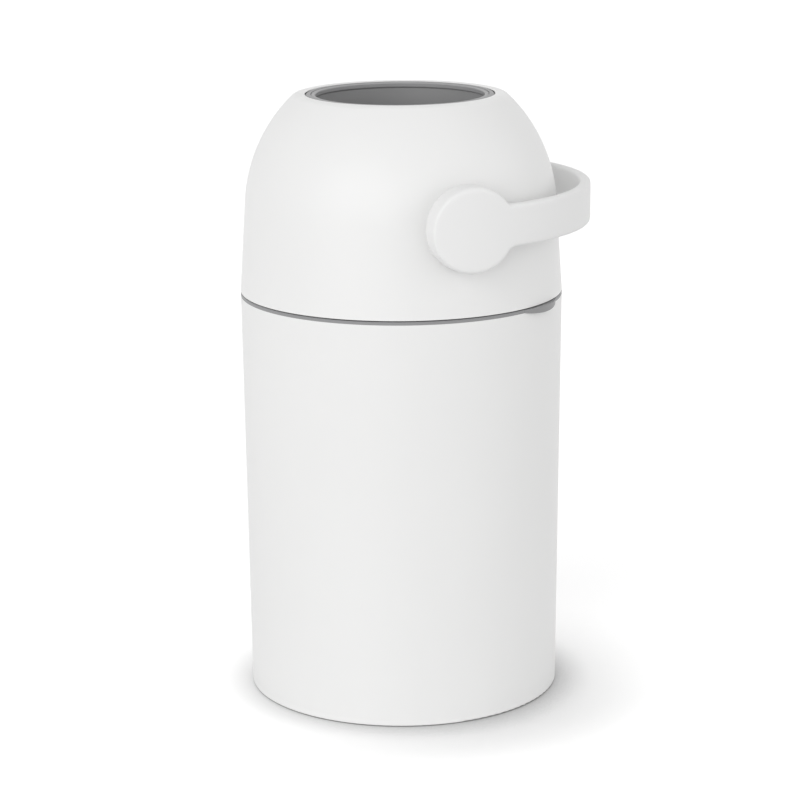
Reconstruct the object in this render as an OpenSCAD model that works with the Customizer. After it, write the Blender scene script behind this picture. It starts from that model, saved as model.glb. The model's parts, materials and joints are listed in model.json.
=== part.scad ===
// Nappy bin: a tapered bucket, a grey bag ring, and a hinged dome that holds a
// ball-shaped drum. Half a turn of the handle tips the drum over, and the loose
// piston in its bore falls and pushes the nappy out into the bucket.
// +Z is up, the origin is on the bucket's axis at the floor, the drum turns
// about Y, and the handle's loop points to +X at rest.

/* [Bucket] */
// How much smaller the foot's radius is than the rim's
taper = 3.8; // [0:0.2:7]
// Height of the bucket's rim above the floor
rim_z = 365.2; // [320:0.2:420]
// Wall of the bucket
bucket_wall = 3; // [2.4:0.1:3.6]
// Thickness of the bucket's floor
floor_t = 3; // [2.5:0.1:5]
// Radius of the edge at the bucket's foot
foot_edge = 1.5; // [1:0.5:6]
// Radial ribs under the floor
rib_count = 8; // [4:1:16]

/* [Grip ring] */
// From the bucket's foot edge in to the rubber ring that the bin stands on
grip_inset = 11.2; // [8:0.1:19]
// Width of the rubber ring
grip_w = 10; // [6:0.5:12]
// How far the rubber stands below the bucket
grip_proud = 0.5; // [0.4:0.1:2]

/* [Bag ring] */
// Height of the grey band that shows under the dome
band_h = 2.9; // [2.4:0.1:5]
// Open gap between the grey band and the dome
seam_gap = 1; // [0.7:0.1:2]
// From the band's outside in to the hole that the nappies drop through
funnel_w = 24; // [21:0.5:29]
// Depth of the skirt that holds the bag against the bucket
skirt_h = 18; // [10:0.5:30]
// Direction of the thumb lip, from the front hub towards +X
lip_turn = 37; // [30:1:45]
// How far the thumb lip stands out
lip_out = 4.5; // [3:0.5:9]
// How far the thumb lip hangs below the band
lip_drop = 2.6; // [1.6:0.2:7]
// Half of the thumb lip's width
lip_half = 29; // [20:1:45]

/* [Dome] */
// Space between the drum's ball and the outside of the dome
shell_room = 12.6; // [12:0.1:16]
// How much wider the bucket's rim is than the dome's ball
skirt_out = 5; // [2:0.5:9]
// Height of the ball's centre above the dome's edge
dome_rise = 72.9; // [70:0.1:76]
// Wall of the dome
dome_wall = 3; // [2.4:0.1:3.4]
// Radius of the shoulder between the ball and the flat crown
shoulder_r = 8; // [5:0.5:10]
// Width of the dark groove between the crown and the drum
groove = 1.8; // [1.6:0.1:3]
// How far the crown stands above the end of the drum
crown_proud = 0.3; // [0:0.1:3]
// Radius of the bearing boss
boss_r = 30; // [29:0.5:33]
// Screws that hold the drum housing
screw_count = 6; // [3:1:10]

/* [Drum] */
// Radius of the opening that a nappy passes
mouth_r = 75.5; // [70:0.5:80]
// Half of the drum's length along its bore
drum_half = 96.7; // [88:0.1:102]
// Height of the drum's pivot above the centre of the dome's ball
pivot_up = 6.5; // [5:0.1:9]
// How far each end ring reaches in over the bore, to keep the piston in
catch = 1.5; // [1:0.1:2.5]
// Height of each end ring
ring_h = 5.4; // [4.6:0.1:8]
// Visible width of the grey collar round each end ring
collar_w = 3.5; // [2.5:0.1:5]
// Wall of the drum's skin
skin = 2.5; // [2:0.1:3]
// Radius of the journal in its bearing
journal_r = 15.95; // [12:0.05:18]
// How far the drum turns, in degrees
drum_sweep = 180; // [150:5:180]

/* [Handle] */
// Space for fingers between the bucket's widest part and the loop
finger_room = 15; // [12:0.5:22]
// From the dome's ball to the back of the hub disc
hub_out = 7.2; // [6.6:0.1:9]
// Thickness of the band
band_t = 10; // [7:0.5:12]
// Width of the band
band_w = 36.5; // [28:0.5:40]
// Height of the band's middle above the middle of the hub
band_up = 1.5; // [0:0.1:3]
// Radius of the hub disc
hub_r = 37.5; // [36:0.5:40]
// Radius of the inner corner between the hub and the band's upper edge
upper_corner = 4; // [3:0.5:9]
// Radius of the inner corner between the hub and the band's lower edge
lower_corner = 9; // [3:0.5:12]
// Rounding of the hub's rim
hub_edge = 6; // [4:0.5:7]
// Rounding of the band's edges
band_edge = 2; // [1:0.1:3]

/* [Piston] */
// Height of the piston
piston_h = 40; // [34:1:60]
// Radial gap between the piston and the bore
piston_gap = 0.5; // [0.4:0.05:0.8]
// Radial gap between the wipers and the bore
wiper_gap = 0.3; // [0.2:0.05:0.35]
// Radius of the steel weight
weight_r = 50; // [35:1:56]
// Thickness of the steel weight
weight_t = 8; // [4:0.5:12]

/* [Hinge] */
// Radius of the steel pin
pin_r = 2.5; // [2:0.1:3]
// Radius of the knuckles
knuckle_r = 5.5; // [5:0.1:6]
// Gap between the bucket's wall and the knuckles
knuckle_gap = 1; // [0.8:0.1:2]
// Half width of the dome's middle knuckle
middle_half = 11.7; // [8:0.1:12]
// Half width of the whole hinge
hinge_half = 22; // [18:0.5:24]

/* [Hidden] */

$fn = 96;
white = "#f4f4f3";
grey = "#9b9b9c";
pale_grey = "#c9c9ca";
dark_grey = "#77777a";
rubber = "#4a4a4c";
steel = "#b8babd";

// Clearances
seat = 0.1;         // between pieces that are pushed together
film = 0.5;         // round the bag, between the ring's skirt and the bucket
run = 0.05;         // a shaft in its bearing
apart = 0.3;        // between pieces that move past each other
over = 0.5;         // how far one shape reaches into the next to join it

grip_sunk = 2.1;    // how deep the rubber ring sits in its groove

// Radii, from the opening outwards
bore_r = mouth_r + catch;
tube_wall = 2;
ring_r = bore_r + tube_wall;    // the tube and the end rings share their outside
collar_in = ring_r + 0.5;
collar_r = collar_in + collar_w;
hole_r = collar_r + groove;
drum_r = norm([collar_r, drum_half]);
dome_r = drum_r + shell_room;
seam_r = dome_r + skirt_out;
base_r = seam_r - taper;
grip_r = base_r - grip_inset;
bag_hole_r = seam_r - funnel_w;
loop_r = seam_r + finger_room + band_t;

// Heights
floor_z = grip_proud + floor_t;
floor_top = floor_z + floor_t;
band_top = rim_z + band_h;
lid_z = band_top + seam_gap;
dome_z = lid_z + dome_rise;
pivot_z = dome_z + pivot_up;
crown_z = pivot_z + drum_half + crown_proud;

// Dome: the skirt is a cone that touches the ball at the lean angle
dome_lean = acos(dome_r / norm([seam_r, dome_rise])) - atan2(dome_rise, seam_r);

// Drum
drum_gap = 3;                   // open space round the drum, bridged by the seals
crown_gap = 0.8;                // between the drum and the crown's lip
seal_h = 7;
seal_down = 7;                  // from the drum's end to the mouth seal
seal_up = 1;                    // from the drum's other end to the outlet seal
housing_in = drum_r + drum_gap; // inner radius of the housing and of the crown's collar
housing_wall = 2.5;
tube_half = drum_half - ring_h;
flange_t = 3;
collar_h = 3.5;
flange_top = drum_half - collar_h;
pad_cut = 3.2;                  // depth of the flat pads where the trunnions come out
pad_y = drum_r - pad_cut;
pad_t = 3;
pad_r = sqrt(drum_r * drum_r - pad_y * pad_y);
key = 29.6;                     // square that turns the drum
drive = 20;                     // square that the handle turns
disc_r = 24;                    // trunnion's flange inside the drum
disc_t = 3.5;

// Handle, bearings and boss, as distances from the axis of the bin
hub_in = dome_r + hub_out;
washer_t = 1.4;                 // flange of the bush
washer_w = 5;
hub_gap = 0.2;
boss_out = hub_in - hub_gap - washer_t;
boss_in = drum_r + drum_gap - seat;
bush_wall = 4;
bush_r = journal_r + run + bush_wall;
socket_h = 13;                  // depth of the handle's square socket
socket_y = hub_in + socket_h;
screw_r = 2.5;
screw_head_r = 5;
screw_head_h = 3;

// Stop that ends the drum's turn
stop_in = 21.5;
stop_out = 27.5;
lug_half = 15;
stop_slack = 1;                 // degrees left free at each end
stop_gap = 0.8;                 // between the stop's lug and the boss

// Gasket, ledge and housing flange under the dome
ledge_z = lid_z + 4;
ledge_t = 2.5;
ledge_w = 6;
ledge_in = seam_r - dome_wall - ledge_w;
gasket_in = ledge_in + 0.5;
gasket_out = seam_r - dome_wall - 0.8;
housing_r = ledge_in - 0.5;
screw_ring = seam_r - dome_wall - 11.5;
post_h = 26;
post_hole_r = 1.8;
thread_r = 1.75;
screw_l = 16;
housing_hole_r = 2.2;

// Piston
piston_z = pivot_z - tube_half + seat;
piston_r = bore_r - piston_gap;
wiper_t = 4;
wiper_up = 4;                   // from the piston's face to its wiper
wiper_in = piston_r - 2.4;
cup_wall = 5;
cup_face = 3;
dish = 2;

// Hinge
hinge_y = seam_r + knuckle_gap + knuckle_r;
hinge_z = lid_z - 1.6;
pin_fit = 0.02;                 // the pin sits in the bucket's knuckles
pin_run = 0.06;                 // and turns in the dome's knuckle

// ---------- helpers ----------

// Turns the children so that +Y points at the hinge and -Y at the thumb lip
module to_hinge() {
    rotate([0, 0, lip_turn]) children();
}

// Lays local Z along the drum's pivot, towards the front hub; X stays and Y is up
module on_pivot() {
    translate([0, 0, pivot_z]) rotate([90, 0, 0]) children();
}

// The same towards the rear hub
module on_pivot_rear() {
    mirror([0, 1, 0]) on_pivot() children();
}

// Copies the upper half of the drum to its lower half
module drum_below() {
    translate([0, 0, 2 * pivot_z]) mirror([0, 0, 1]) children();
}

// Section of a ring, radius along X and height along Y
module band(r_in, r_out, z_low, z_high) {
    translate([r_in, z_low]) square([r_out - r_in, z_high - z_low]);
}

// A ring about Z
module ring(r_in, r_out, z_low, z_high) {
    rotate_extrude() band(r_in, r_out, z_low, z_high);
}

// Where the line from a point touches a circle on its outer side
function touch(from, centre, r, side) =
    let (way = centre - from,
        reach = sqrt(way * way - r * r),
        angle = atan2(way[1], way[0]) + side * asin(r / norm(way)))
    from + reach * [cos(angle), sin(angle)];

// ---------- bucket ----------

function foot_in() = grip_r - grip_w - 6;

function bucket_r(z) = base_r + (seam_r - base_r) * (z - grip_proud) / (rim_z - grip_proud);

module bucket_section() {
    edge_z = grip_proud + foot_edge;
    inner_edge = 6;
    difference() {
        union() {
            polygon([[0, grip_proud], [base_r - foot_edge, grip_proud],
                [base_r - foot_edge, edge_z], [base_r, edge_z], [seam_r, rim_z], [0, rim_z]]);
            translate([base_r - foot_edge, edge_z]) circle(r = foot_edge);
        }
        polygon([[0, floor_top], [base_r - bucket_wall - inner_edge, floor_top],
            [bucket_r(floor_top + inner_edge) - bucket_wall, floor_top + inner_edge],
            [seam_r - bucket_wall, rim_z], [seam_r - bucket_wall, rim_z + 1], [0, rim_z + 1]]);
        band(0, foot_in(), 0, floor_z);
        band(grip_r - grip_w - seat, grip_r + seat, 0, grip_proud + grip_sunk + seat);
    }
}

module floor_ribs() {
    rib_t = 2;
    core_r = 16;
    core_wall = 3;
    reach = foot_in() + over;
    for (i = [0 : rib_count - 1])
        rotate([0, 0, i * 360 / rib_count])
            translate([core_r - over, -rib_t / 2, grip_proud])
                cube([reach - core_r + over, rib_t, floor_z - grip_proud + over]);
    ring(core_r - core_wall, core_r, grip_proud, floor_z + over);
}

// Outline of a knuckle with its gusset, Y outward and Z up
module knuckle_outline(root_y, root_z, edge_z, side) {
    centre = [hinge_y, hinge_z];
    root = [root_y, root_z];
    polygon([root, [root_y, edge_z], [hinge_y - knuckle_r + 1, edge_z], centre,
        touch(root, centre, knuckle_r, side)]);
    translate(centre) circle(r = knuckle_r);
}

module knuckle(x_low, x_high, root_z, edge_z, wall, side) {
    widest = max(abs(x_low), abs(x_high));
    root_y = sqrt(pow(seam_r - wall, 2) - widest * widest);
    translate([x_low, 0, 0]) rotate([90, 0, 90])
        linear_extrude(height = x_high - x_low) knuckle_outline(root_y, root_z, edge_z, side);
}

module pin_hole(r) {
    translate([0, hinge_y, hinge_z]) rotate([0, 90, 0])
        cylinder(r = r, h = 2 * hinge_half + 4, center = true);
}

module bin_body() {
    gusset = 30;
    color(white) difference() {
        union() {
            rotate_extrude() bucket_section();
            floor_ribs();
            to_hinge() for (side = [-1, 1])
                mirror([side < 0 ? 1 : 0, 0, 0])
                    knuckle(middle_half + apart, hinge_half, rim_z - gusset, rim_z,
                        bucket_wall / 2, -1);
        }
        to_hinge() pin_hole(pin_r + pin_fit);
    }
}

module grip_ring() {
    color(rubber) ring(grip_r - grip_w, grip_r, 0, grip_proud + grip_sunk);
}

// ---------- bag ring ----------

module bag_ring_section() {
    funnel_t = 3;
    slope_top = [bag_hole_r + 12, band_top];
    slope_low = [bag_hole_r, band_top - 10];
    skirt_out = seam_r - bucket_wall - film;
    skirt_in = skirt_out - 2;
    chamfer = 0.5;
    polygon([[skirt_out, rim_z - skirt_h], [skirt_out, rim_z], [seam_r, rim_z],
        [seam_r, band_top - chamfer], [seam_r - chamfer, band_top], slope_top, slope_low,
        slope_low - [0, funnel_t], slope_top - [0, funnel_t], [skirt_in, band_top - funnel_t],
        [skirt_in, rim_z - skirt_h]]);
}

// Thumb lip: a crescent in plan and in elevation with blunt tips, hooked over the bucket's wall
module thumb_lip() {
    tip_half = lip_half - 0.3;
    chord_y = sqrt(seam_r * seam_r - lip_half * lip_half);
    bulge = seam_r + lip_out - chord_y;
    plan_r = (lip_half * lip_half + bulge * bulge) / (2 * bulge);
    smile_r = (lip_half * lip_half + lip_drop * lip_drop) / (2 * lip_drop);
    low_z = rim_z - lip_drop;
    difference() {
        intersection() {
            translate([0, plan_r - seam_r - lip_out, low_z])
                cylinder(r = plan_r, h = band_top - low_z);
            translate([0, 0, low_z + smile_r]) rotate([90, 0, 0])
                cylinder(r = smile_r, h = 2 * seam_r);
            translate([-tip_half, -seam_r - lip_out, low_z])
                cube([2 * tip_half, seam_r + lip_out - chord_y + 2, band_top - low_z]);
        }
        cylinder(r = seam_r + apart, h = rim_z);
        cylinder(r = seam_r - 2, h = band_top + 1);
    }
}

module bag_ring() {
    color(grey) union() {
        rotate_extrude() bag_ring_section();
        to_hinge() thumb_lip();
    }
}

module hinge_pin() {
    head_r = pin_r + 1.2;
    color(steel) to_hinge() translate([0, hinge_y, hinge_z]) rotate([0, 90, 0]) union() {
        cylinder(r = pin_r, h = 2 * hinge_half + 1, center = true);
        translate([0, 0, hinge_half + seat]) cylinder(r = head_r, h = 1.5);
    }
}

// ---------- dome ----------

// Half section of the dome, filled, with its surface moved in by inset
module dome_outline(inset) {
    r = dome_r - inset;
    foot_r = (r + dome_rise * sin(dome_lean)) / cos(dome_lean);
    intersection() {
        band(0, seam_r + 5, lid_z, crown_z - inset);
        union() {
            polygon([[0, lid_z], [foot_r, lid_z],
                [r * cos(dome_lean), dome_z + r * sin(dome_lean)],
                [0, dome_z + r * sin(dome_lean)]]);
            translate([0, dome_z]) circle(r = r);
        }
    }
}

module dome_outside() {
    centre = [sqrt(pow(dome_r - shoulder_r, 2) - pow(crown_z - shoulder_r - dome_z, 2)),
        crown_z - shoulder_r];
    way = (centre - [0, dome_z]) / norm(centre - [0, dome_z]);
    difference() {
        dome_outline(0);
        polygon([centre, centre + way * (shoulder_r + 3), [seam_r, crown_z + 1],
            [centre[0], crown_z + 1]]);
    }
    translate(centre) circle(r = shoulder_r);
}

module dome_section() {
    edge = 0.4;
    collar_low = pivot_z + drum_half - seal_down - seal_h - 1;
    difference() {
        union() {
            difference() {
                dome_outside();
                difference() {
                    dome_outline(dome_wall);
                    intersection() {
                        band(0, seam_r, collar_low, crown_z);
                        translate([0, pivot_z]) circle(r = housing_in + housing_wall);
                    }
                }
            }
            band(ledge_in, seam_r - dome_wall / 2 - 1, ledge_z, ledge_z + ledge_t);
        }
        intersection() {
            band(0, seam_r, lid_z - 1, pivot_z + drum_half - seal_down + seat);
            translate([0, pivot_z]) circle(r = housing_in);
        }
        translate([0, pivot_z]) circle(r = drum_r + crown_gap);
        band(0, hole_r, pivot_z, crown_z + 1);
        polygon([[hole_r - 1, crown_z - edge - 1], [hole_r + edge + 1, crown_z + 1],
            [hole_r - 1, crown_z + 1]]);
    }
}

// Posts inside the dome that take the housing's screws
module screw_posts() {
    post_r = 5;
    web_t = 3;
    for (i = [0 : screw_count - 1])
        rotate([0, 0, (i + 0.5) * 360 / screw_count])
            difference() {
                intersection() {
                    translate([0, 0, ledge_z + ledge_t]) union() {
                        translate([screw_ring, 0, 0]) cylinder(r = post_r, h = post_h);
                        translate([screw_ring, -web_t / 2, 0])
                            cube([seam_r - screw_ring, web_t, post_h]);
                    }
                    rotate_extrude() dome_outline(dome_wall / 2);
                }
                translate([screw_ring, 0, ledge_z])
                    cylinder(r = post_hole_r, h = screw_l + 4, $fn = 24);
            }
}

// Ends the drum's turn: the drum's lug meets it half a turn apart
module stop_block() {
    gap_turn = drum_sweep + 2 * lug_half + 2 * stop_slack;
    start = 90 + drum_sweep + lug_half + stop_slack;
    on_pivot_rear() rotate([0, 0, start]) rotate_extrude(angle = 360 - gap_turn)
        band(stop_in, stop_out, pad_y + stop_gap, boss_in + over);
}

module bearing_boss() {
    translate([0, 0, boss_in]) cylinder(r = boss_r, h = boss_out - boss_in);
}

module dome_shell() {
    color(white) difference() {
        union() {
            rotate_extrude() dome_section();
            screw_posts();
            on_pivot() bearing_boss();
            on_pivot_rear() bearing_boss();
            stop_block();
            to_hinge() knuckle(-middle_half, middle_half, lid_z + 26, lid_z,
                dome_wall * 0.75, 1);
        }
        on_pivot() cylinder(r = bush_r + seat, h = 2 * loop_r, center = true);
        to_hinge() pin_hole(pin_r + pin_run);
    }
}

// ---------- inside the dome ----------

// Bowl under the drum, with the outlet in its bottom
module housing_section() {
    outlet_z = pivot_z - drum_half - 3.5;
    top_z = ledge_z + ledge_t;
    difference() {
        union() {
            intersection() {
                band(0, seam_r, outlet_z, top_z);
                translate([0, pivot_z]) circle(r = housing_in + housing_wall);
            }
            band(housing_in - 30, housing_r, ledge_z, top_z);
        }
        translate([0, pivot_z]) circle(r = housing_in);
    }
}

module drum_housing() {
    color(pale_grey) difference() {
        rotate_extrude() housing_section();
        for (i = [0 : screw_count - 1])
            rotate([0, 0, (i + 0.5) * 360 / screw_count])
                translate([screw_ring, 0, lid_z])
                    cylinder(r = housing_hole_r, h = screw_l, $fn = 24);
    }
}

module housing_screws() {
    head_h = 2.3;
    color(steel) for (i = [0 : screw_count - 1])
        rotate([0, 0, (i + 0.5) * 360 / screw_count])
            translate([screw_ring, 0, ledge_z]) union() {
                translate([0, 0, -head_h]) cylinder(r = 3.6, h = head_h, $fn = 32);
                cylinder(r = thread_r, h = screw_l, $fn = 24);
            }
}

// Lip seal between the drum's skin and what is round it, from z_low to z_high
module seal(z_low, z_high) {
    rotate_extrude() difference() {
        intersection() {
            band(0, seam_r, z_low, z_high);
            translate([0, pivot_z]) circle(r = housing_in - seat);
        }
        translate([0, pivot_z]) circle(r = drum_r + apart);
    }
}

module mouth_seal() {
    top_z = pivot_z + drum_half - seal_down;
    color(rubber) seal(top_z - seal_h, top_z);
}

module outlet_seal() {
    low_z = pivot_z - drum_half + seal_up;
    color(rubber) seal(low_z, low_z + seal_h);
}

module lid_gasket() {
    color(rubber) ring(gasket_in, gasket_out, band_top + apart, ledge_z);
}

module bearing() {
    difference() {
        union() {
            translate([0, 0, boss_in]) cylinder(r = bush_r, h = boss_out - boss_in + over);
            translate([0, 0, boss_out]) cylinder(r = bush_r + washer_w, h = washer_t);
        }
        cylinder(r = journal_r + run, h = loop_r);
    }
}

module front_bearing() {
    color(pale_grey) on_pivot() bearing();
}

module rear_bearing() {
    color(pale_grey) on_pivot_rear() bearing();
}

// ---------- drum ----------

module drum_tube() {
    color(dark_grey) ring(bore_r, ring_r, pivot_z - tube_half, pivot_z + tube_half);
}

// Upper half of the ball-shaped skin, with its end flange and its half pads
module half_skin() {
    difference() {
        union() {
            intersection() {
                rotate_extrude() union() {
                    difference() {
                        intersection() {
                            band(0, drum_r, pivot_z, pivot_z + flange_top);
                            translate([0, pivot_z]) circle(r = drum_r);
                        }
                        translate([0, pivot_z]) circle(r = drum_r - skin);
                    }
                    intersection() {
                        band(ring_r + seat, drum_r, pivot_z + flange_top - flange_t,
                            pivot_z + flange_top);
                        translate([0, pivot_z]) circle(r = drum_r - skin / 2);
                    }
                }
                translate([0, 0, pivot_z + drum_r / 2])
                    cube([2 * drum_r + 2, 2 * pad_y, drum_r], center = true);
            }
            intersection() {
                on_pivot() union() {
                    for (side = [-1, 1])
                        translate([0, 0, side * (pad_y - pad_t / 2)])
                            cylinder(r = pad_r + 1, h = pad_t, center = true);
                }
                translate([0, 0, pivot_z]) sphere(r = drum_r - skin / 4);
                translate([0, 0, pivot_z + drum_r / 2])
                    cube([2 * drum_r, 2 * drum_r, drum_r], center = true);
            }
        }
        on_pivot() cube([key + 2 * seat, key + 2 * seat, 3 * drum_r], center = true);
    }
}

module drum_upper_shell() {
    color(white) union() {
        half_skin();
        on_pivot_rear() rotate([0, 0, 90 - lug_half]) rotate_extrude(angle = 2 * lug_half)
            band(stop_in, stop_out, pad_y - over, boss_in - stop_gap);
    }
}

module drum_lower_shell() {
    color(white) drum_below() half_skin();
}

// Grey collar: its side carries on the ball of the skin
module collar() {
    rotate_extrude() difference() {
        intersection() {
            band(0, drum_r, pivot_z + flange_top, pivot_z + drum_half);
            translate([0, pivot_z]) circle(r = drum_r, $fn = 720);
        }
        band(0, collar_in, pivot_z, pivot_z + drum_r);
    }
}

module upper_collar() {
    color(grey) collar();
}

module lower_collar() {
    color(grey) drum_below() collar();
}

// End ring that keeps the piston in the bore; its lower edge runs out to the bore
module retaining_ring() {
    edge = 0.6;
    slope = 0.4;
    top_z = pivot_z + drum_half - 0.2;
    low_z = pivot_z + tube_half;
    rotate_extrude() polygon([[mouth_r, low_z + catch], [bore_r, low_z], [ring_r, low_z],
        [ring_r, top_z - edge / 2], [ring_r - edge / 2, top_z],
        [mouth_r + edge, top_z - slope], [mouth_r, top_z - slope - edge]]);
}

module upper_retaining_ring() {
    color(pale_grey) retaining_ring();
}

module lower_retaining_ring() {
    color(pale_grey) drum_below() retaining_ring();
}

// Trunnion: flange inside the drum, square key in the skin, journal, square drive
module trunnion() {
    key_in = pad_y - pad_t;
    difference() {
        union() {
            translate([0, 0, key_in - disc_t]) cylinder(r = disc_r, h = disc_t);
            translate([-key / 2, -key / 2, key_in - over]) cube([key, key, pad_t + 2 * over]);
            translate([0, 0, pad_y]) cylinder(r = journal_r, h = hub_in - pad_y);
            translate([-drive / 2, -drive / 2, hub_in - over])
                cube([drive, drive, socket_y - hub_in - seat + over]);
        }
        cylinder(r = screw_r + seat, h = loop_r, $fn = 32);
    }
}

module front_trunnion() {
    color(pale_grey) on_pivot() trunnion();
}

module rear_trunnion() {
    color(pale_grey) on_pivot_rear() trunnion();
}

module trunnion_screw() {
    head_z = pad_y - pad_t - disc_t;
    translate([0, 0, head_z]) cylinder(r = screw_r, h = socket_y + 4 - head_z, $fn = 32);
    translate([0, 0, head_z - screw_head_h])
        cylinder(r = screw_head_r, h = screw_head_h, $fn = 32);
}

module trunnion_screws() {
    color(steel) union() {
        on_pivot() trunnion_screw();
        on_pivot_rear() trunnion_screw();
    }
}

// ---------- handle ----------

// Fills the inner corner between the hub's rim and the band's edge, half above the hub's middle
module corner_fill(half, corner_r) {
    centre = [sqrt(pow(hub_r + corner_r, 2) - pow(half + corner_r, 2)), half + corner_r];
    on_hub = centre * hub_r / (hub_r + corner_r);
    root = on_hub * 0.9;
    rotate([90, 0, 0]) linear_extrude(height = 2 * loop_r + 2, center = true) difference() {
        polygon([[root[0], half - 2], root, centre, [centre[0], half - 2]]);
        translate(centre) circle(r = corner_r);
    }
}

module hub() {
    intersection() {
        rotate_extrude() union() {
            band(0, hub_r - hub_edge, hub_in, loop_r + 1);
            band(0, hub_r, hub_in, loop_r + 1 - hub_edge);
            translate([hub_r - hub_edge, loop_r + 1 - hub_edge]) circle(r = hub_edge);
        }
        rotate([90, 0, 0]) cylinder(r = loop_r, h = 3 * hub_r, center = true, $fn = 180);
    }
}

// Pocket behind the hub's face, with ribs, and the square socket in its core
module hub_pocket() {
    hub_wall = 3.5;
    pocket_r = hub_r - hub_wall;
    rib_t = 2.4;
    core_r = drive * 0.8;
    deep = socket_y - 1;
    difference() {
        translate([0, 0, hub_in - 1]) cylinder(r = pocket_r, h = deep - hub_in + 1);
        translate([0, 0, hub_in - 2]) cylinder(r = core_r, h = deep);
        for (i = [0 : 2])
            rotate([0, 0, i * 60 + 30])
                translate([-pocket_r, -rib_t / 2, hub_in]) cube([2 * pocket_r, rib_t, deep]);
    }
    translate([-drive / 2 - seat, -drive / 2 - seat, hub_in - 1])
        cube([drive + 2 * seat, drive + 2 * seat, socket_y - hub_in + 1]);
    translate([0, 0, hub_in]) cylinder(r = screw_r + run, h = socket_y + 5 - hub_in, $fn = 32);
}

// Half of the loop, with soft edges
module loop() {
    rotate([0, 0, -90]) rotate_extrude(angle = 180) union() {
        band(loop_r - band_t + band_edge, loop_r - band_edge, -band_w / 2, band_w / 2);
        band(loop_r - band_t, loop_r, band_edge - band_w / 2, band_w / 2 - band_edge);
        for (x = [loop_r - band_t + band_edge, loop_r - band_edge], side = [-1, 1])
            translate([x, side * (band_w / 2 - band_edge)]) circle(r = band_edge);
    }
}

module handle() {
    color(white) difference() {
        union() {
            translate([0, 0, pivot_z + band_up]) loop();
            translate([0, 0, pivot_z]) intersection() {
                ring(loop_r - band_t, loop_r, -hub_r, hub_r);
                union() {
                    corner_fill(band_w / 2 + band_up, upper_corner);
                    mirror([0, 0, 1]) corner_fill(band_w / 2 - band_up, lower_corner);
                }
            }
            on_pivot() hub();
            on_pivot_rear() hub();
        }
        on_pivot() hub_pocket();
        on_pivot_rear() hub_pocket();
    }
}

// ---------- piston ----------

function piston_mid() = piston_z + piston_h / 2;

// Lower cup: dished face, thick wall with a groove, and seats for the weight
module cup() {
    wiper_z = piston_z + wiper_up;
    seat_h = piston_h / 2 - weight_t / 2;
    dish_r = piston_r - 14;
    edge = 1;
    rotate_extrude() difference() {
        union() {
            polygon([[0, piston_z], [piston_r - edge, piston_z], [piston_r, piston_z + edge],
                [piston_r, piston_mid()], [piston_r - cup_wall, piston_mid()],
                [piston_r - cup_wall, piston_z + cup_face + dish],
                [0, piston_z + cup_face + dish]]);
            band(0, 12, piston_z + cup_face, piston_z + seat_h);
            band(weight_r - 4, weight_r - 1, piston_z + cup_face, piston_z + seat_h);
            band(weight_r + 0.3, weight_r + 3, piston_z + cup_face, piston_mid());
        }
        band(wiper_in, piston_r + 1, wiper_z - seat, wiper_z + wiper_t + seat);
        polygon([[0, piston_z - 1], [dish_r, piston_z - 1], [dish_r - 3, piston_z + dish],
            [0, piston_z + dish]]);
    }
}

module piston_above() {
    translate([0, 0, 2 * piston_mid()]) mirror([0, 0, 1]) children();
}

module piston_lower_cup() {
    color(dark_grey) cup();
}

module piston_upper_cup() {
    color(dark_grey) piston_above() cup();
}

module piston_weight() {
    color(steel) ring(4, weight_r, piston_mid() - weight_t / 2, piston_mid() + weight_t / 2);
}

module wiper() {
    z = piston_z + wiper_up;
    lip_r = bore_r - wiper_gap;
    rotate_extrude() polygon([[wiper_in + seat, z], [lip_r - 1, z], [lip_r, z + 1],
        [lip_r, z + wiper_t - 1], [lip_r - 1, z + wiper_t], [wiper_in + seat, z + wiper_t]]);
}

module lower_wiper() {
    color(rubber) wiper();
}

module upper_wiper() {
    color(rubber) piston_above() wiper();
}

bin_body();
grip_ring();
bag_ring();
hinge_pin();
dome_shell();
drum_housing();
housing_screws();
mouth_seal();
outlet_seal();
lid_gasket();
front_bearing();
rear_bearing();
drum_tube();
drum_upper_shell();
drum_lower_shell();
upper_collar();
lower_collar();
upper_retaining_ring();
lower_retaining_ring();
front_trunnion();
rear_trunnion();
trunnion_screws();
handle();
piston_lower_cup();
piston_upper_cup();
piston_weight();
lower_wiper();
upper_wiper();
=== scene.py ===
"""Nappy bin: camera, light, materials and the soft-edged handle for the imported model."""
import json
import math

import bpy
from mathutils import Matrix, Vector


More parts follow.
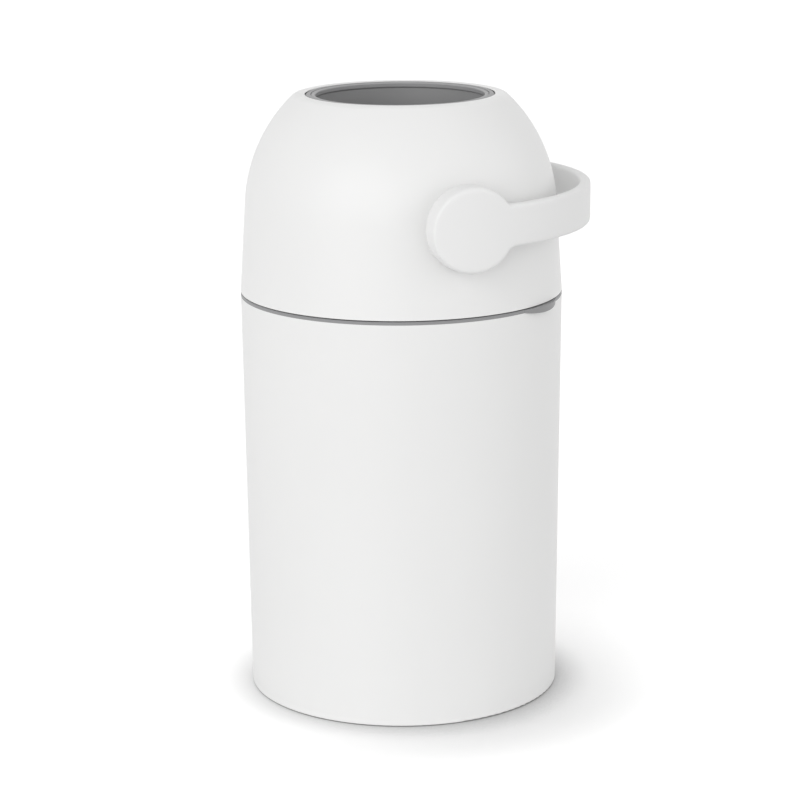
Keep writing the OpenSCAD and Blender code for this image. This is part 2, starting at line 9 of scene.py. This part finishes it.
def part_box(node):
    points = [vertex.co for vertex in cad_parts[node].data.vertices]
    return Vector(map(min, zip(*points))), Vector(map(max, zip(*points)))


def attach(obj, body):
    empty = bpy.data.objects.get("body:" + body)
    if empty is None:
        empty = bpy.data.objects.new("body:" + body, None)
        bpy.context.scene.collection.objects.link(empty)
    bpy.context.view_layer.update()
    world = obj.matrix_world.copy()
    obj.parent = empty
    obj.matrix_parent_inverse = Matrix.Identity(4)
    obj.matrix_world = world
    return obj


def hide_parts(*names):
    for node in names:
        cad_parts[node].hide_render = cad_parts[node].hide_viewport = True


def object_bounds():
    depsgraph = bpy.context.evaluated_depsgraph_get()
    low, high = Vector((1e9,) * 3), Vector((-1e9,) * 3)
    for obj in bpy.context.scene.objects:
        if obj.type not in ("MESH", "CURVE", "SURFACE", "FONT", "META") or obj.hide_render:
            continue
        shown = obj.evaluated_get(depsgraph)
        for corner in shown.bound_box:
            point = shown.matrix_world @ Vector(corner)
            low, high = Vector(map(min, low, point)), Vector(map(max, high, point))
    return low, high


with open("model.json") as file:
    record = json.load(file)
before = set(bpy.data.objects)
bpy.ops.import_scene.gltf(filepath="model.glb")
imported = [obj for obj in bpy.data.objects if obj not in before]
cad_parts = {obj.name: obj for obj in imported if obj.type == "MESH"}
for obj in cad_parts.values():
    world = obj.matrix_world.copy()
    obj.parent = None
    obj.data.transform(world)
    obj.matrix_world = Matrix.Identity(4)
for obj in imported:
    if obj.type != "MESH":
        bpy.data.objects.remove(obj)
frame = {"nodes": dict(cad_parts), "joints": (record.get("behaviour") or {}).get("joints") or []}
cad_low, cad_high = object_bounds()
nodes = frame["nodes"]
scene = bpy.context.scene


def toward(turn, lift=0.0):
    """Unit vector that is turned round the bin's axis, from -Y towards +X, and lifted."""
    return Vector((math.sin(turn) * math.cos(lift), -math.cos(turn) * math.cos(lift),
                   math.sin(lift)))


# ---------- camera ----------

PICTURE = 810                 # pixels across the square picture
FOCAL = 2691.0                # focal length in those pixels
SENSOR = 36.0                 # the sensor's width in millimetres
TURN = math.radians(-22.0)    # where the camera stands, as toward() counts it
DISTANCE = 2.3886             # from the bin's axis, along the floor
HEIGHT = 0.8558               # above the floor
PITCH = 0.24476               # how far it looks down, in radians
YAW = 0.0011                  # how far it looks to the right of the bin's axis
ROLL = -0.0067                # how far it is tilted to the left
NEAR = 0.05                   # it sees what lies from NEAR to FAR
FAR = 60.0


def make_camera():
    """The camera stands, looks and tilts as the photograph's did."""
    up = Vector((0, 0, 1))
    ahead = -toward(TURN - YAW)
    right = toward(TURN - YAW + math.pi / 2)
    gaze = ahead * math.cos(PITCH) - up * math.sin(PITCH)
    top = ahead * math.sin(PITCH) + up * math.cos(PITCH)
    side = right * math.cos(ROLL) + top * math.sin(ROLL)
    top = top * math.cos(ROLL) - right * math.sin(ROLL)
    data = bpy.data.cameras.new("camera")
    data.sensor_width = SENSOR
    data.lens = FOCAL / PICTURE * SENSOR
    data.clip_start = NEAR
    data.clip_end = FAR
    data.dof.use_dof = False
    camera = bpy.data.objects.new("camera", data)
    scene.collection.objects.link(camera)
    aim = Matrix((side, top, -gaze)).transposed().to_4x4()
    camera.matrix_world = Matrix.Translation(toward(TURN) * DISTANCE + up * HEIGHT) @ aim
    scene.camera = camera


make_camera()

# ---------- nodes of materials ----------


class Tree:
    """Short calls for the nodes of a material or of the world."""

    def __init__(self, owner):
        owner.use_nodes = True
        self.owner = owner
        self.nodes = owner.node_tree.nodes
        self.links = owner.node_tree.links
        self.nodes.clear()

    def add(self, kind, values=None, **props):
        """A node with these properties; values, or links, go to its inputs by name or number."""
        node = self.nodes.new(kind)
        for key, value in props.items():
            setattr(node, key, value)
        for key, value in (values or {}).items():
            if isinstance(value, bpy.types.NodeSocket):
                self.links.new(value, node.inputs[key])
            else:
                node.inputs[key].default_value = value
        return node

    def mix(self, factor, low, high):
        """The colour low where factor is 0 and high where it is 1."""
        values = {0: factor, 6: low, 7: high}    # 6 and 7 are its sockets for colours
        return self.add("ShaderNodeMix", values, data_type="RGBA").outputs[2]

    def math(self, operation, first, second=0.0):
        return self.add("ShaderNodeMath", {0: first, 1: second}, operation=operation).outputs[0]

    def spread(self, value, low, high, start=0.0, end=1.0):
        """value, from start to end, spread over low to high."""
        return self.add("ShaderNodeMapRange", {
            "Value": value, "From Min": start, "From Max": end,
            "To Min": low, "To Max": high}).outputs[0]

    def place(self):
        """Where a point lies on the piece at rest, in metres."""
        return self.add("ShaderNodeTexCoord").outputs["Object"]

    def noise(self, scale, detail, rough, stretch=None):
        """Soft noise from 0 to 1 that is fixed to the piece."""
        where = self.place()
        if stretch:
            where = self.add("ShaderNodeMapping", {"Vector": where, "Scale": stretch}).outputs[0]
        return self.add("ShaderNodeTexNoise", {
            "Vector": where, "Scale": scale, "Detail": detail, "Roughness": rough}).outputs["Fac"]

    def bump(self, strength, distance, height, normal=None):
        """A fine relief, on top of normal where one is given."""
        values = {"Strength": strength, "Distance": distance, "Height": height}
        if normal is not None:
            values["Normal"] = normal
        return self.add("ShaderNodeBump", values).outputs[0]

    def seen(self):
        """1 for what the camera sees, also in gloss and through glass, and 0 for light."""
        rays = self.add("ShaderNodeLightPath").outputs
        seen = self.math("MAXIMUM", rays["Is Camera Ray"], rays["Is Glossy Ray"])
        return self.math("MAXIMUM", seen, rays["Is Transmission Ray"])

    def finish(self, values):
        """Ends a material with one shader of the given values."""
        surface = self.add("ShaderNodeBsdfPrincipled", values)
        self.add("ShaderNodeOutputMaterial", {"Surface": surface.outputs[0]})
        return self.owner


def material_tree(name):
    return Tree(bpy.data.materials.new(name))


def shade(colour, factor):
    """The colour made darker or lighter, with an alpha of 1."""
    return (colour[0] * factor, colour[1] * factor, colour[2] * factor, 1)


# ---------- plastic ----------

# Heights where hands and floors rub the skin smooth
FOOT_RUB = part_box("bin_body")[0][2] + 0.0025
SEAM_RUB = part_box("bag_ring")[1][2] + 0.0009
CROWN_RUB = cad_high[2]

RUB_WIDTH = 0.0035     # a rub fades out over this height
RUB_MOST = 0.6         # and covers this much of the skin
RUB_GLOSS = 0.3        # by which it lowers the roughness
RUB_LIGHTER = 1.06     # and raises the colour
LIGHTEST = 0.97        # up to here
FLAT = 0.52            # Pointiness of a skin that bulges little
SHARP = 0.6            # and of a rounded edge
SKIN_DEPTH = 0.0002    # of the fine grain
FLOW_DEPTH = 0.002     # of the flow marks
FLOW_BUMP = 0.02       # how strongly these show
FLOW_PALE = 0.35       # how pale they get, as a share of how dark they get
GLOSS_DRIFT = 0.05     # how much the roughness drifts up and down


def find_rubs(t, heights, worn):
    """How much the skin is rubbed, by height and by how sharply it bulges."""
    rubs = []
    if worn:
        bulge = t.add("ShaderNodeNewGeometry").outputs["Pointiness"]
        rubs.append(t.spread(bulge, 0.0, worn, FLAT, SHARP))
    if heights:
        here = t.add("ShaderNodeSeparateXYZ", {0: t.place()}).outputs[2]
    for height in heights:
        off = t.math("ABSOLUTE", t.math("SUBTRACT", here, height))
        rubs.append(t.spread(off, 0.0, RUB_MOST, RUB_WIDTH, 0.0))
    return rubs


def plastic(name, colour, rough, grain=0.03, spread=0.03, heights=(), worn=0.0):
    """Moulded plastic: faint flow marks, a fine sand-blasted skin and small scuffs.

    The skin is rubbed smooth at the given heights, and worn rubs every outer edge of an
    evenly meshed piece.
    """
    t = material_tree(name)
    flow = t.noise(scale=7.0, detail=4.0, rough=0.6, stretch=(1, 1, 0.6))
    fine = t.noise(scale=2600.0, detail=2.0, rough=0.5)
    cloud = t.noise(scale=45.0, detail=5.0, rough=0.6)
    tint = t.mix(flow, shade(colour, 1 - spread), shade(colour, 1 + spread * FLOW_PALE))
    gloss = t.spread(cloud, rough - GLOSS_DRIFT, rough + GLOSS_DRIFT)
    rubbed = shade(colour, min(RUB_LIGHTER, LIGHTEST / max(colour)))
    for rub in find_rubs(t, heights, worn):
        rub = t.math("MULTIPLY", rub, cloud)
        tint = t.mix(rub, tint, rubbed)
        gloss = t.math("SUBTRACT", gloss, t.math("MULTIPLY", rub, RUB_GLOSS))
    bump = t.bump(grain, SKIN_DEPTH, fine)
    bump = t.bump(FLOW_BUMP, FLOW_DEPTH, flow, bump)
    return t.finish({"Base Color": tint, "Roughness": gloss, "Normal": bump, "IOR": 1.5})


# ---------- rubber and steel ----------

RUBBER_DEPTH = 0.0002    # of the rubber's grain
DRAWN_DEPTH = 0.0001     # of the marks along the steel


def rubber(name, colour):
    """Matt rubber with a dusty bloom."""
    t = material_tree(name)
    bloom = t.noise(scale=60.0, detail=6.0, rough=0.65)
    grain = t.noise(scale=1800.0, detail=2.0, rough=0.5)
    clean = shade(colour, 0.85)
    dusty = shade(colour, 1.35)
    return t.finish({
        "Base Color": t.mix(bloom, clean, dusty),
        "Roughness": t.spread(bloom, 0.62, 0.82),
        "Normal": t.bump(0.15, RUBBER_DEPTH, grain),
        "Specular IOR Level": 0.35})


def metal(name, colour, rough, stretch):
    """Plated steel with drawn marks, long where stretch is small, and a little tarnish."""
    t = material_tree(name)
    marks = t.noise(scale=900.0, detail=3.0, rough=0.5, stretch=stretch)
    cloud = t.noise(scale=80.0, detail=4.0, rough=0.6)
    tarnished = shade(colour, 0.82)
    bright = shade(colour, 1.05)
    return t.finish({
        "Base Color": t.mix(cloud, tarnished, bright),
        "Metallic": 1.0,
        "Roughness": t.spread(marks, rough - 0.06, rough + 0.08),
        "Normal": t.bump(0.12, DRAWN_DEPTH, marks)})


# ---------- looks of the pieces ----------

WHITE = (0.905, 0.905, 0.9)
GREY = (0.3, 0.3, 0.305)

# What the nodes look like
LOOKS = {
    "bin_body": plastic("body_white", WHITE, rough=0.46, heights=(FOOT_RUB,)),
    "dome_shell": plastic("dome_white", WHITE, rough=0.42, heights=(SEAM_RUB, CROWN_RUB)),
    "handle": plastic("handle_white", (0.9, 0.9, 0.897), rough=0.5, grain=0.06, worn=0.8),
    "drum_upper_shell": plastic("shell_white", (0.86, 0.86, 0.855), rough=0.5),
    "bag_ring": plastic("ring_grey", GREY, rough=0.45, spread=0.08),
    "upper_collar": plastic("collar_grey", GREY, rough=0.42, spread=0.06),
    "upper_retaining_ring": plastic("ring_pale_grey", (0.34, 0.34, 0.345), rough=0.4, spread=0.05),
    "drum_tube": plastic("bore_grey", (0.335, 0.335, 0.338), rough=0.4, spread=0.08),
    "piston_upper_cup": plastic("piston_grey", (0.25, 0.25, 0.254), rough=0.5, spread=0.08),
    "drum_housing": plastic("housing_pale_grey", (0.5, 0.5, 0.505), rough=0.5, spread=0.05),
    "front_trunnion": plastic("acetal_pale_grey", (0.55, 0.55, 0.55), rough=0.35, spread=0.04),
    "grip_ring": rubber("grip_rubber", (0.05, 0.05, 0.052)),
    "mouth_seal": rubber("seal_rubber", (0.07, 0.07, 0.072)),
    "hinge_pin": metal("pin_steel", (0.55, 0.56, 0.58), rough=0.3, stretch=(0.2, 0.2, 1)),
    "housing_screws": metal("screw_steel", (0.5, 0.51, 0.53), rough=0.36, stretch=(1, 1, 0.3)),
    "piston_weight": metal("weight_steel", (0.36, 0.36, 0.37), rough=0.5, stretch=(1, 1, 3)),
}

# Nodes that look like another one
SAME = {
    "drum_lower_shell": "drum_upper_shell",
    "lower_collar": "upper_collar",
    "lower_retaining_ring": "upper_retaining_ring",
    "piston_lower_cup": "piston_upper_cup",
    "rear_trunnion": "front_trunnion",
    "front_bearing": "front_trunnion",
    "rear_bearing": "front_trunnion",
    "outlet_seal": "mouth_seal",
    "lid_gasket": "mouth_seal",
    "lower_wiper": "mouth_seal",
    "upper_wiper": "mouth_seal",
    "trunnion_screws": "housing_screws",
}


def paint(mesh, look):
    mesh.materials.clear()
    mesh.materials.append(LOOKS[look])


for name, node in nodes.items():
    paint(node.data, SAME.get(name, name))

# ---------- handle ----------

VOXEL = 0.0011         # width of the even mesh's cells
RIM_WALL = 0.0026      # the hub's rim is relaxed this far in, short of the hollow behind it
SOCKET_ROOM = 0.00036  # from the trunnion's end to where the hub's face is relaxed
RELAX_STEPS = 18
RELAX_SHARE = 0.5      # how far a step moves a point towards its neighbours


def bake_shape(piece):
    """The piece gets the mesh that its modifiers make."""
    graph = bpy.context.evaluated_depsgraph_get()
    mesh = bpy.data.meshes.new_from_object(piece.evaluated_get(graph), depsgraph=graph)
    piece.modifiers.clear()
    piece.data = mesh


def outside(mesh):
    """Points of the handle that aren't in the hollows behind the hubs' faces."""
    pivot_z = next(joint for joint in frame["joints"] if joint["name"] == "drum_turn")["pos_m"][2]
    hub_r = pivot_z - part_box("handle")[0][2]
    hollow_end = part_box("rear_trunnion")[1][1] + SOCKET_ROOM
    found = []
    for point in mesh.vertices:
        reach = math.hypot(point.co.x, point.co.z - pivot_z)
        if reach > hub_r - RIM_WALL or abs(point.co.y) > hollow_end:
            found.append(point.index)
    return found


def soft_handle():
    """The handle with the soft edges of a moulding: an even fine mesh, relaxed all round."""
    piece = bpy.data.objects.new("handle_moulding", nodes["handle"].data.copy())
    scene.collection.objects.link(piece)
    remesh = piece.modifiers.new("even", "REMESH")
    remesh.mode = "VOXEL"
    remesh.voxel_size = VOXEL
    bake_shape(piece)
    group = piece.vertex_groups.new(name="outside")
    group.add(outside(piece.data), 1.0, "REPLACE")
    relax = piece.modifiers.new("relax", "SMOOTH")
    relax.factor = RELAX_SHARE
    relax.iterations = RELAX_STEPS
    relax.vertex_group = group.name
    bake_shape(piece)
    for face in piece.data.polygons:
        face.use_smooth = True
    paint(piece.data, "handle")
    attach(piece, "drum")
    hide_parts("handle")


soft_handle()

# ---------- floor ----------

FLOOR_HALF = 20.0            # half the floor's width
FLOOR_GREY = 0.78            # how much light the floor throws back on the bin
SHADE_SAMPLES = 8

# A wide shadow is painted into the floor's colour, falling as if the floor's light came from behind
# the bin, on its left
WIDE_TURN = -143.0           # of that light, in degrees from the camera's side
WIDE_LIFT = 8.9265           # and off the floor
WIDE_REACH = 0.1276
WIDE_CURVE = 0.905           # the power by which the shadow fades
WIDE_LIGHT = (0.313, 1.5)    # the floor's white deep in the shadow and outside it

# The thin shadow painted along the bin's foot
FOOT_REACH = 0.0367
FOOT_LIGHT = (0.428, 1.0)


def painted_floor_shade(t):
    """How white the floor is, with painted shade: less in the wide painted shadow and in the thin
    one along the foot.
    """
    lean = toward(TURN + math.radians(WIDE_TURN), math.radians(WIDE_LIFT))
    normal = t.add("ShaderNodeCombineXYZ", {0: lean.x, 1: lean.y, 2: lean.z}).outputs[0]
    wide = t.add("ShaderNodeAmbientOcclusion", {"Distance": WIDE_REACH, "Normal": normal},
                 samples=SHADE_SAMPLES)
    foot = t.add("ShaderNodeAmbientOcclusion", {"Distance": FOOT_REACH}, samples=SHADE_SAMPLES)
    # The occlusion darkens the floor's colour: a painted shadow, not one that the lamps cast
    open_sky = t.math("POWER", wide.outputs["AO"], WIDE_CURVE)
    return t.math("MULTIPLY", t.spread(open_sky, *WIDE_LIGHT),
                  t.spread(foot.outputs["AO"], *FOOT_LIGHT))


def make_floor():
    """White floor with the bin's soft shadow painted into its colour as seen, also in gloss, and
    grey for the light that it throws back.
    """
    t = material_tree("floor_white")
    light = painted_floor_shade(t)
    white = t.add("ShaderNodeCombineColor", {0: light, 1: light, 2: light}).outputs[0]
    tint = t.mix(t.seen(), (FLOOR_GREY, FLOOR_GREY, FLOOR_GREY, 1), white)
    surface = t.add("ShaderNodeBsdfDiffuse", {"Color": tint})
    t.add("ShaderNodeOutputMaterial", {"Surface": surface.outputs[0]})
    mesh = bpy.data.meshes.new("floor")
    corners = [(x * FLOOR_HALF, y * FLOOR_HALF, 0) for x, y in ((-1, -1), (1, -1), (1, 1), (-1, 1))]
    mesh.from_pydata(corners, [], [(0, 1, 2, 3)])
    mesh.materials.append(t.owner)
    floor = bpy.data.objects.new("floor", mesh)
    scene.collection.objects.link(floor)


make_floor()

# ---------- light ----------

SKY = 0.612         # strength of the even light from all round
SOFT_ANGLE = 60     # how wide each lamp is, in degrees

# Each lamp's turn from the camera's side and lift off the floor, in degrees, and its strength
LAMPS = {
    "front_left": (-30, 8, 1.614),
    "right": (80, 8, 0.605),
}


def make_world():
    """Even light all round, behind which the camera sees plain white."""
    world = bpy.data.worlds.new("studio")
    scene.world = world
    t = Tree(world)
    glow = t.add("ShaderNodeBackground", {"Color": (1, 1, 1, 1), "Strength": SKY})
    white = t.add("ShaderNodeBackground", {"Color": (1, 1, 1, 1), "Strength": 1.0})
    pick = t.add("ShaderNodeMixShader", {0: t.seen(), 1: glow.outputs[0], 2: white.outputs[0]})
    t.add("ShaderNodeOutputWorld", {"Surface": pick.outputs[0]})


def make_lamp(name, turn, lift, strength):
    """A wide soft light from that side."""
    data = bpy.data.lights.new(name, "SUN")
    data.energy = strength
    data.angle = math.radians(SOFT_ANGLE)
    lamp = bpy.data.objects.new(name, data)
    source = toward(TURN + math.radians(turn), math.radians(lift))
    lamp.rotation_euler = source.to_track_quat("Z", "Y").to_euler()
    scene.collection.objects.link(lamp)


make_world()
for name, (turn, lift, strength) in LAMPS.items():
    make_lamp(name, turn, lift, strength)

scene.view_settings.view_transform = "Standard"
